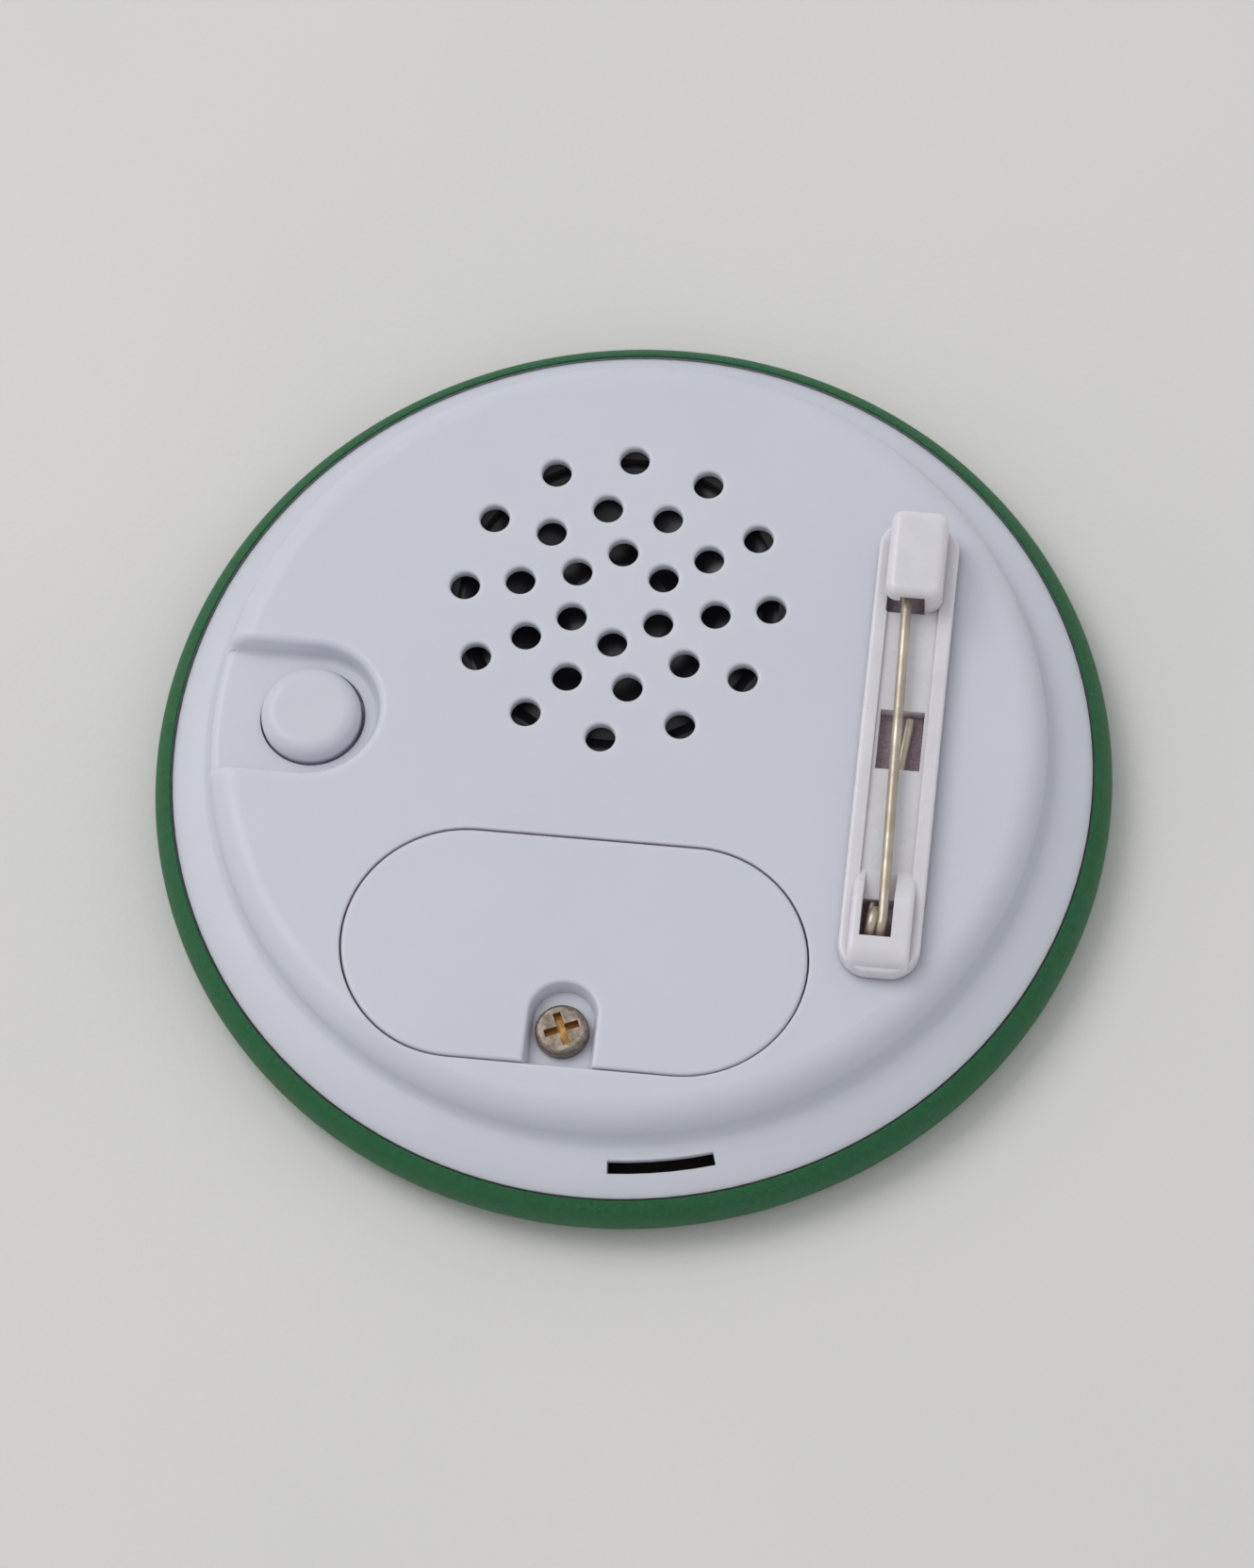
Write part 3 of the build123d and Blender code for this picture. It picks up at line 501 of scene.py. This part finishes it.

# %% [markdown]
# ## The pieces inside
# A few of these show when the door is off or through the sound holes, and the rest never do, but
# each still gets its own finish: pressed board, film, foam, epoxy, solder mask, ceramic, enamelled
# wire and insulation. The cover board and the speaker cone are near-black: partly their own colour,
# and partly painted shade for the dark inside that shows through the slot and the sound holes.
# One function makes a non-metal with a cloudy colour, a varied roughness and a small relief. The
# voice coil's noise is squeezed flat, so that it lies in rings round the coil like wire turns.

# %% Inside finishes
def inside_finish(name, color, roughness, blotch=0.8 * MM, depth=0.006 * MM, fade=0.75):
    """A non-metal whose colour, roughness and surface all vary a little."""
    finish, shader = new_finish(name, color, roughness)
    where = place_coordinates(finish)
    cloud = noise(finish, where, blotch, 4.0)
    darker = tuple(fade * c for c in color)
    join(finish, tint(finish, cloud, darker, color), shader.inputs["Base Color"])
    join(finish, spread(finish, cloud, roughness + 0.08, roughness - 0.06), shader.inputs["Roughness"])
    bump(finish, shader, cloud, depth)
    return finish


# The board's near-black is partly painted shade for the dark inside seen through the slot.
cover_board = inside_finish("cover_board", (0.032, 0.024, 0.018), 0.6, 0.5 * MM, 0.02 * MM, 0.5)
# The cone's black is partly painted shade for the dark inside seen through the sound holes.
cone_black = inside_finish("cone_black", (0.012, 0.012, 0.014), 0.3, 3 * MM)
gasket_foam = inside_finish("gasket_foam", (0.02, 0.02, 0.02), 0.9, 0.15 * MM, 0.05 * MM)
solder_mask = inside_finish("solder_mask", (0.02, 0.13, 0.05), 0.3, 1.5 * MM)
black_epoxy = inside_finish("black_epoxy", (0.012, 0.012, 0.012), 0.28, 1 * MM)
tan_ceramic = inside_finish("tan_ceramic", (0.36, 0.22, 0.10), 0.45)
switch_black = inside_finish("switch_black", (0.02, 0.02, 0.022), 0.5, 0.3 * MM)
insulation_red = inside_finish("insulation_red", (0.45, 0.012, 0.012), 0.4)
insulation_black = inside_finish("insulation_black", (0.013, 0.013, 0.014), 0.4)
copper_rings = plain_metal("enamelled_copper", (0.60, 0.22, 0.10), 0.35, 0.08 * MM, (0.1, 0.1, 1), 0.01 * MM)
wear(["inner_cover"], cover_board)
wear(["speaker_cone"], cone_black)
wear(["speaker_gasket"], gasket_foam)
wear(["circuit_board", "speaker_terminal_board"], solder_mask)
wear(["sound_chip", "board_resistors"], black_epoxy)
wear(["board_capacitor"], tan_ceramic)
wear(["switch_base", "switch_plunger"], switch_black)
wear(["voice_coil"], copper_rings)
wear(["speaker_wire_red", "battery_wire_red"], insulation_red)
wear(["speaker_wire_black", "battery_wire_black"], insulation_black)

# %% [markdown]
# ## Storing a modelled piece
# A bmesh is only a drawing board. This function turns it into a piece: it shades the faces
# smoothly except across real corners, lets the piece ride on a body of the CAD model, and hides
# the CAD part that it stands for.

# %% Piece maker
CORNER = radians(40)


def store_piece(name, shape, finish, body, stands_for):
    """Turn a bmesh into a piece that rides on a body and stands for a CAD part."""
    for face in shape.faces:
        face.smooth = True
    for edge in shape.edges:
        edge.smooth = len(edge.link_faces) == 2 and edge.calc_face_angle() < CORNER
    mesh = bpy.data.meshes.new(name)
    shape.to_mesh(mesh)
    shape.free()
    mesh.materials.append(finish)
    piece = bpy.data.objects.new(name, mesh)
    scene.collection.objects.link(piece)
    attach(piece, body)
    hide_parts(stands_for)
    print(name, "has", len(mesh.polygons), "faces")
    return piece


# %% [markdown]
# ## The badge's three skins
# Tinplate, printed paper and clear film have the same shape, one inside the other: a flat disc
# whose edge rolls round and turns in over the housing. On the real badge the sheets touch. In a
# render, faces that touch flicker into each other, so each skin here is a hair thinner than it is
# on the real badge. The profile starts as one vertex in the middle. It is extruded to a line,
# and spinning its last vertex draws the two arcs of the roll. A full spin about Z makes the disc,
# and solidify gives it a wall. Operators hand back vertices and edges mixed in one list, so a
# small function picks out one kind.

# %% Rolled skins
BADGE_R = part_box("clear_film")[1].x
FILM_WALL = 0.1 * MM
PAPER_WALL = 0.2 * MM
TIN_WALL = 0.35 * MM
ROLL_LOW_R = 2.6 * MM       # radius of the roll below its widest point
ROLL_HIGH_R = 2.4 * MM      # radius above it
ROLL_TURN = radians(65)     # how far the upper arc goes
HAIR = 0.015 * MM           # gap between skins
LOW_STEPS = 14
HIGH_STEPS = 12
ROUND_STEPS = 256


def only(kind, items):
    """The vertices, or the edges, or the faces, from a mixed list of mesh elements."""
    return [item for item in items if isinstance(item, kind)]


def rolled_skin(depth, wall):
    """A bmesh of one skin: its outer face lies at that depth inside the badge's surface."""
    shape = bmesh.new()
    middle = bmesh.ops.create_vert(shape, co=(0, 0, depth))["vert"]
    corner = bmesh.ops.extrude_vert_indiv(shape, verts=middle)["verts"]
    corner[0].co = (BADGE_R - ROLL_LOW_R, 0, depth)
    low_centre = (BADGE_R - ROLL_LOW_R, 0, ROLL_LOW_R)
    low_arc = bmesh.ops.spin(shape, geom=corner, cent=low_centre, axis=(0, 1, 0),
                             angle=-pi / 2, steps=LOW_STEPS)
    widest = only(bmesh.types.BMVert, low_arc["geom_last"])
    high_centre = (BADGE_R - ROLL_HIGH_R, 0, ROLL_LOW_R)
    bmesh.ops.spin(shape, geom=widest, cent=high_centre, axis=(0, 1, 0),
                   angle=-ROLL_TURN, steps=HIGH_STEPS)
    bmesh.ops.remove_doubles(shape, verts=shape.verts, dist=SAME_PLACE)
    outline = shape.verts[:] + shape.edges[:]
    bmesh.ops.spin(shape, geom=outline, cent=(0, 0, 0), axis=(0, 0, 1),
                   angle=2 * pi, steps=ROUND_STEPS, use_merge=True)
    bmesh.ops.remove_doubles(shape, verts=shape.verts, dist=SAME_PLACE)
    bmesh.ops.recalc_face_normals(shape, faces=shape.faces)
    bmesh.ops.solidify(shape, geom=shape.faces[:], thickness=wall)
    return shape


film = rolled_skin(0, FILM_WALL - HAIR)
paper = rolled_skin(FILM_WALL, PAPER_WALL - HAIR)
tin = rolled_skin(FILM_WALL + PAPER_WALL, TIN_WALL)
store_piece("tin_skin", tin, tinplate, "badge", "front_shell")
store_piece("paper_skin", paper, print_green, "badge", "printed_wrap")
store_piece("film_skin", film, film_clear, "badge", "clear_film")

# %% [markdown]
# ## The pin's coil
# One piece of wire makes the anchor leg, the coil and the needle. The coil is a screw shape: spin
# turns a circle about the coil's axis, and its "dvec" moves the circle sideways a little at each
# step. The same circle, extruded once from the coil's start, is the anchor leg that runs back
# under the needle in the bar's groove.

# %% Pin coil
coil_low, coil_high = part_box("pin_coil")
WIRE_R = 0.4 * MM
COIL_R = (coil_high.z - coil_low.z) / 2 - WIRE_R
COIL_ANGLE = 3 * pi                         # a turn and a half
COIL_STEPS = 54
ROOT = Vector((21.0, -14.1, 11.5)) * MM     # where the needle joins the coil
LEG_X = 19.87 * MM                          # where the leg joins the coil
LEG_END = Vector((21.5, 3.3, 9.7)) * MM
coil_centre = Vector((LEG_X, ROOT.y, ROOT.z - COIL_R))

wire = bmesh.new()
foot = Matrix.Translation((LEG_X, ROOT.y, coil_centre.z - COIL_R))
upright = Matrix.Rotation(pi / 2, 4, "X")
circle = bmesh.ops.create_circle(wire, cap_ends=False, segments=20, radius=WIRE_R, matrix=foot @ upright)
ring_edges = wire.edges[:]
leg_ring = bmesh.ops.extrude_edge_only(wire, edges=ring_edges)["geom"]
leg_start = Vector((LEG_X, ROOT.y, LEG_END.z))
bmesh.ops.translate(wire, verts=only(bmesh.types.BMVert, leg_ring), vec=LEG_END - leg_start)
bmesh.ops.spin(wire, geom=circle["verts"] + ring_edges, cent=coil_centre, axis=(1, 0, 0),
               angle=-COIL_ANGLE, steps=COIL_STEPS, dvec=((ROOT.x - LEG_X) / COIL_STEPS, 0, 0))
bmesh.ops.remove_doubles(wire, verts=wire.verts, dist=SAME_PLACE)
bmesh.ops.holes_fill(wire, edges=wire.edges, sides=0)
bmesh.ops.recalc_face_normals(wire, faces=wire.faces)
store_piece("coil_wire", wire, pin_wire, "badge", "pin_coil")
print("coil radius:", round(1000 * COIL_R, 2), "mm")

# %% [markdown]
# ## The switch's snap dome
# Under the push button a thin steel dome flattens as the button goes down. The CAD part's shape
# is copied here, its loose triangles are merged, and the copy is given a mesh of its own.

# %% Snap dome
snap = bmesh.new()
snap.from_mesh(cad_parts["switch_dome"].data)
bmesh.ops.remove_doubles(snap, verts=snap.verts, dist=SAME_PLACE)
snap_dome = store_piece("snap_dome", snap, contact_nickel, "badge", "switch_dome")
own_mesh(snap_dome)
